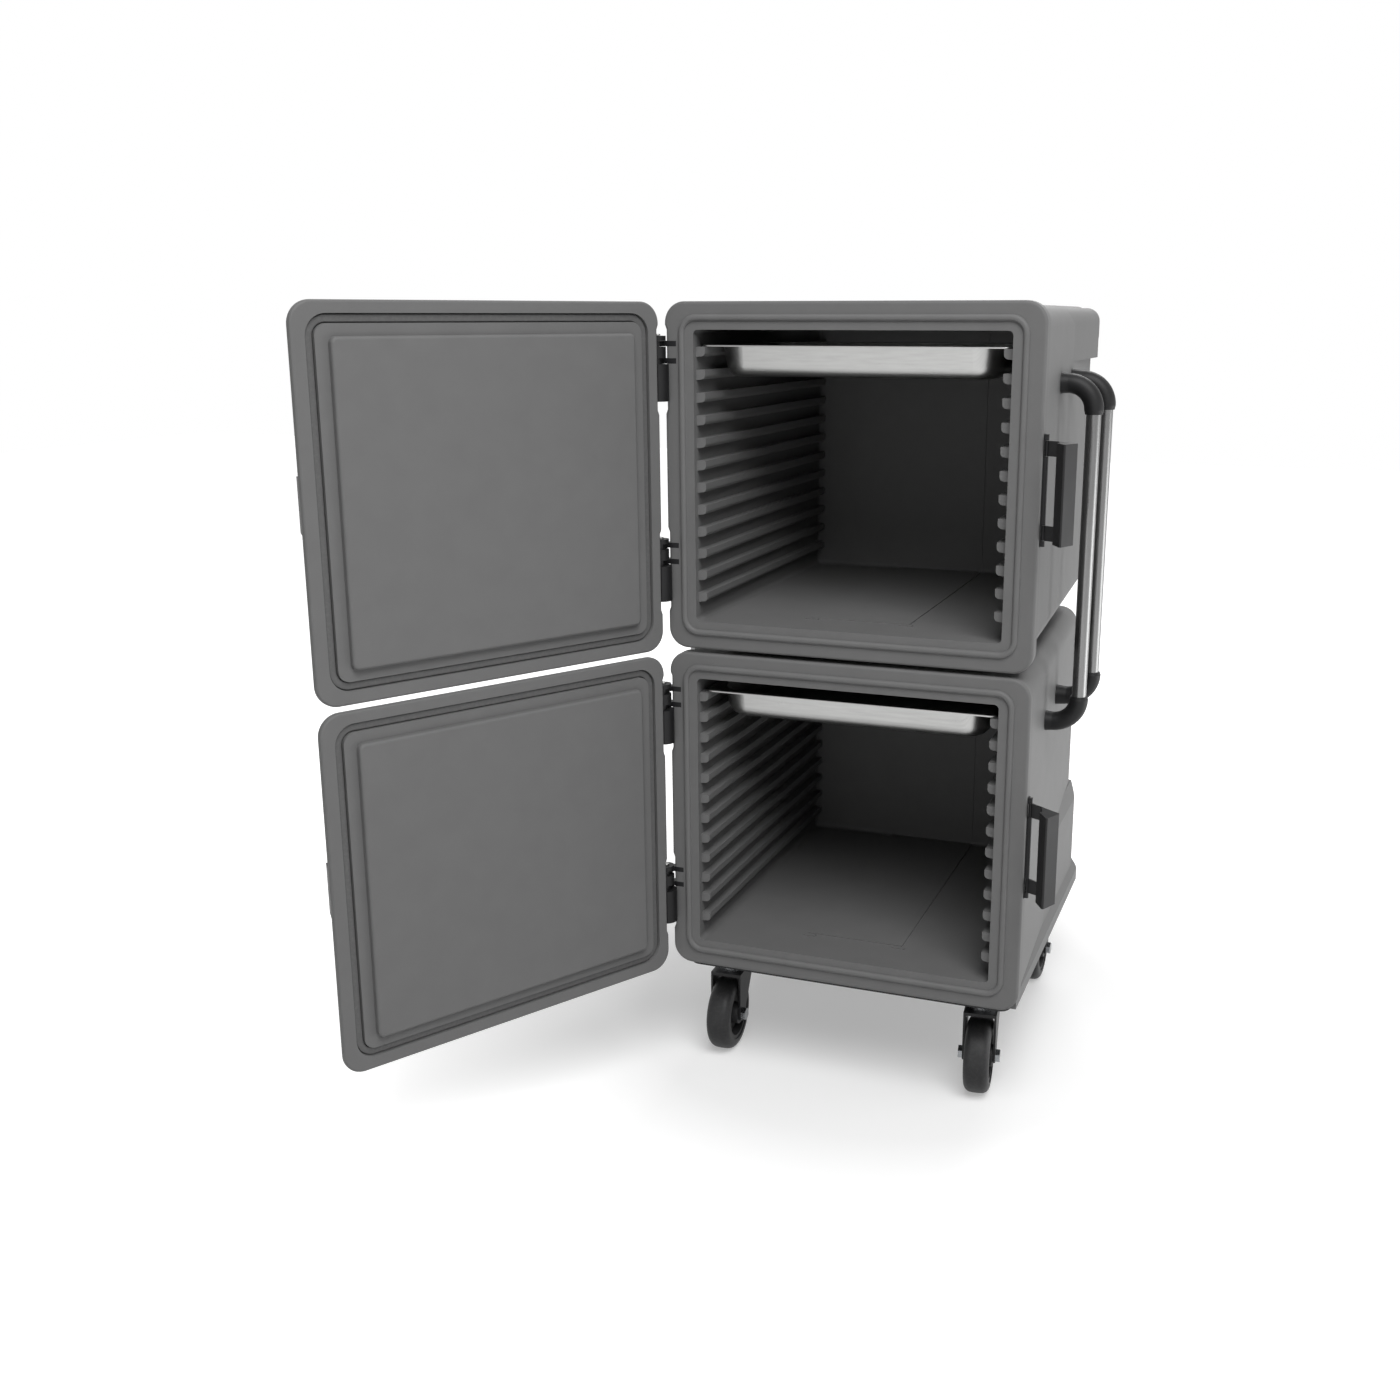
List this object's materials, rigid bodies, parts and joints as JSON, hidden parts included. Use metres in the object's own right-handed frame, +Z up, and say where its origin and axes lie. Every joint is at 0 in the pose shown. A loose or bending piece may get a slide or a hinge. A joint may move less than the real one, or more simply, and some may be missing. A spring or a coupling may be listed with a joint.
{
  "type": "heated food transport cart",
  "caption": "Upright insulated cart of stacked cabinets with side-hung doors, pan rails, side latches, push bars at each side and swivelling front casters.",
  "frame": {"origin": "on the floor, under the middle of the cabinets' depth and width", "axes": "+Z up, +X to the cart's right as seen from the front, where the latches are, +Y from the doors to the back"},
  "size_m": [1.0532, 1.3423, 1.402],
  "materials": {
    "grey_moulding": "rotationally moulded grey polyethylene, fine orange-peel skin",
    "insulation": "rigid polyurethane foam, sealed inside",
    "seal": "grey silicone rubber",
    "black_nylon": "black glass-filled nylon, satin",
    "steel": "pressed stainless steel, satin",
    "zinc": "bright zinc-plated steel",
    "aluminium": "satin anodised aluminium tube",
    "black_steel": "black powder-coated pressed steel",
    "tread": "dark grey rubber, lightly scuffed",
    "wheel_plastic": "dark grey moulded polypropylene",
    "switch": "black moulded switch key"
  },
  "bodies": {
    "cart": {"upper_cabinet": "grey_moulding", "upper_insulation": "insulation", "upper_rails_left": "grey_moulding", "upper_rails_right": "grey_moulding", "upper_hinge_brackets": "black_steel", "upper_hinge_pins": "steel", "upper_latch_bracket": "black_nylon", "upper_latch_pin": "steel", "upper_heater_cover": "black_nylon", "upper_power_inlet": "black_nylon", "lower_cabinet": "grey_moulding", "lower_insulation": "insulation", "lower_rails_left": "grey_moulding", "lower_rails_right": "grey_moulding", "lower_hinge_brackets": "black_steel", "lower_hinge_pins": "steel", "lower_latch_bracket": "black_nylon", "lower_latch_pin": "steel", "lower_heater_cover": "black_nylon", "lower_power_inlet": "black_nylon", "stacking_runners": "grey_moulding", "handle_top_elbows": "black_nylon", "handle_bottom_elbows": "black_nylon", "handle_tubes": "aluminium", "base_plate": "black_steel", "swivel_housings": "black_steel", "caster_bolts": "zinc", "rear_forks": "black_steel", "rear_axles": "zinc"},
    "upper_door_leaf": {"upper_door": "grey_moulding", "upper_door_insulation": "insulation", "upper_door_seal": "seal", "upper_door_keeper": "black_nylon", "upper_door_hinges": "black_nylon"},
    "upper_latch_lever": {"upper_latch": "black_nylon"},
    "upper_food_pan": {"upper_pan": "steel"},
    "upper_switch_key": {"upper_switch_rocker": "switch"},
    "lower_door_leaf": {"lower_door": "grey_moulding", "lower_door_insulation": "insulation", "lower_door_seal": "seal", "lower_door_keeper": "black_nylon", "lower_door_hinges": "black_nylon"},
    "lower_latch_lever": {"lower_latch": "black_nylon"},
    "lower_food_pan": {"lower_pan": "steel"},
    "lower_switch_key": {"lower_switch_rocker": "switch"},
    "front_left_swivel": {"front_left_fork": "black_steel", "front_left_race": "zinc", "front_left_axle": "zinc"},
    "front_left_roller": {"front_left_wheel": "wheel_plastic", "front_left_tread": "tread"},
    "rear_left_roller": {"rear_left_wheel": "wheel_plastic", "rear_left_tread": "tread"},
    "front_right_swivel": {"front_right_fork": "black_steel", "front_right_race": "zinc", "front_right_axle": "zinc"},
    "front_right_roller": {"front_right_wheel": "wheel_plastic", "front_right_tread": "tread"},
    "rear_right_roller": {"rear_right_wheel": "wheel_plastic", "rear_right_tread": "tread"}
  },
  "joints": [
    {"name": "upper_door_hinge", "type": "hinge", "parent": "cart", "child": "upper_door_leaf", "pos_m": [-0.328, -0.373, 1.107], "axis": [0, 0, -1], "range_deg": [-118.9, 91.1]},
    {"name": "upper_latch_pivot", "type": "hinge", "parent": "cart", "child": "upper_latch_lever", "pos_m": [0.327, -0.342, 1.109], "axis": [0, 0, 1], "range_deg": [-48, 80]},
    {"name": "upper_pan_slide", "type": "slide", "parent": "cart", "child": "upper_food_pan", "axis": [0, -1, 0], "range_m": [-0.32, 0.3]},
    {"name": "upper_switch_pivot", "type": "hinge", "parent": "cart", "child": "upper_switch_key", "pos_m": [-0.105, 0.382, 1.005], "axis": [1, 0, 0], "range_deg": [0, 14]},
    {"name": "lower_door_hinge", "type": "hinge", "parent": "cart", "child": "lower_door_leaf", "pos_m": [-0.328, -0.373, 0.507], "axis": [0, 0, -1], "range_deg": [-118.9, 91.1]},
    {"name": "lower_latch_pivot", "type": "hinge", "parent": "cart", "child": "lower_latch_lever", "pos_m": [0.327, -0.342, 0.509], "axis": [0, 0, 1], "range_deg": [-48, 80]},
    {"name": "lower_pan_slide", "type": "slide", "parent": "cart", "child": "lower_food_pan", "axis": [0, -1, 0], "range_m": [-0.32, 0.3]},
    {"name": "lower_switch_pivot", "type": "hinge", "parent": "cart", "child": "lower_switch_key", "pos_m": [-0.105, 0.382, 0.405], "axis": [1, 0, 0], "range_deg": [0, 14]},
    {"name": "front_left_swivel_turn", "type": "hinge", "parent": "cart", "child": "front_left_swivel", "pos_m": [-0.256, -0.229, 0.158], "axis": [0, 0, 1], "continuous": true},
    {"name": "front_left_wheel_roll", "type": "hinge", "parent": "front_left_swivel", "child": "front_left_roller", "pos_m": [-0.25506, -0.25598, 0.07], "axis": [0.9994, 0.0349, 0], "continuous": true},
    {"name": "rear_left_wheel_roll", "type": "hinge", "parent": "cart", "child": "rear_left_roller", "pos_m": [-0.2425, 0.258, 0.07], "axis": [1, 0, 0], "continuous": true},
    {"name": "front_right_swivel_turn", "type": "hinge", "parent": "cart", "child": "front_right_swivel", "pos_m": [0.236, -0.229, 0.158], "axis": [0, 0, 1], "continuous": true},
    {"name": "front_right_wheel_roll", "type": "hinge", "parent": "front_right_swivel", "child": "front_right_roller", "pos_m": [0.23882, -0.25585, 0.07], "axis": [0.9945, 0.1045, 0], "continuous": true},
    {"name": "rear_right_wheel_roll", "type": "hinge", "parent": "cart", "child": "rear_right_roller", "pos_m": [0.2425, 0.258, 0.07], "axis": [1, 0, 0], "continuous": true}
  ]
}
